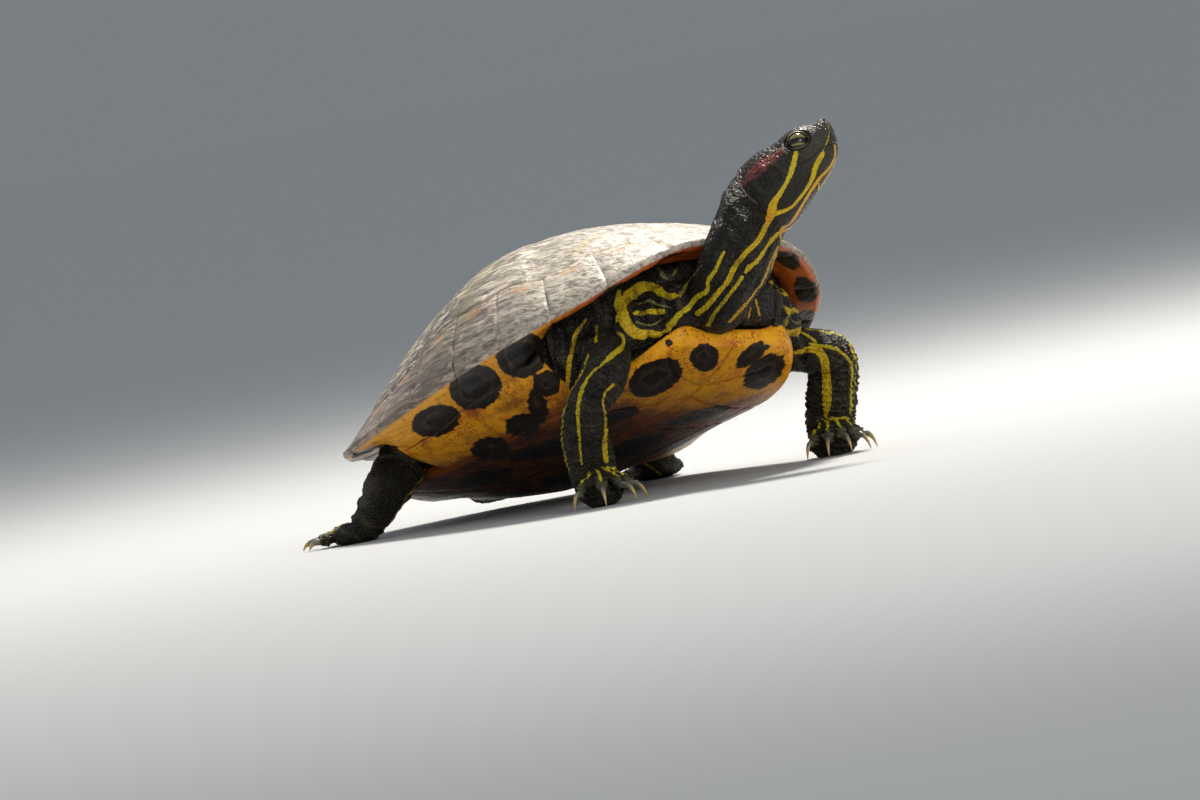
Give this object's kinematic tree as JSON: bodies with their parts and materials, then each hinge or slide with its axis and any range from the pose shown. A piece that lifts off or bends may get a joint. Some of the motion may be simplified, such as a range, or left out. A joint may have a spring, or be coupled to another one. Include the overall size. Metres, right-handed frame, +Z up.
{
  "type": "turtle model",
  "caption": "Life-size still model of a red-eared slider turtle standing with its neck stretched up: domed shell, plastron, head, long-clawed legs and tail.",
  "frame": {"origin": "the middle of the whole model in plan, on the floor its feet stand on", "axes": "+X to the front of the shell, +Y to the animal's left, +Z up"},
  "size_m": [0.229, 0.1826, 0.1246],
  "materials": {
    "shell": "dry weathered horn, olive brown, with a dull sheen",
    "belly": "smooth horn, yellow to orange with dark blotches",
    "skin": "finely scaled, dark olive to black, with yellow stripes and a red patch behind the eye",
    "eye": "wet and glossy, olive iris"
  },
  "bodies": {
    "root": {"carapace": "shell", "plastron": "belly", "torso": "skin", "neck": "skin", "head": "skin", "eye_left": "eye", "eye_right": "eye", "foreleg_left": "skin", "foreleg_right": "skin", "hindleg_left": "skin", "hindleg_right": "skin", "tail": "skin"}
  },
  "joints": []
}
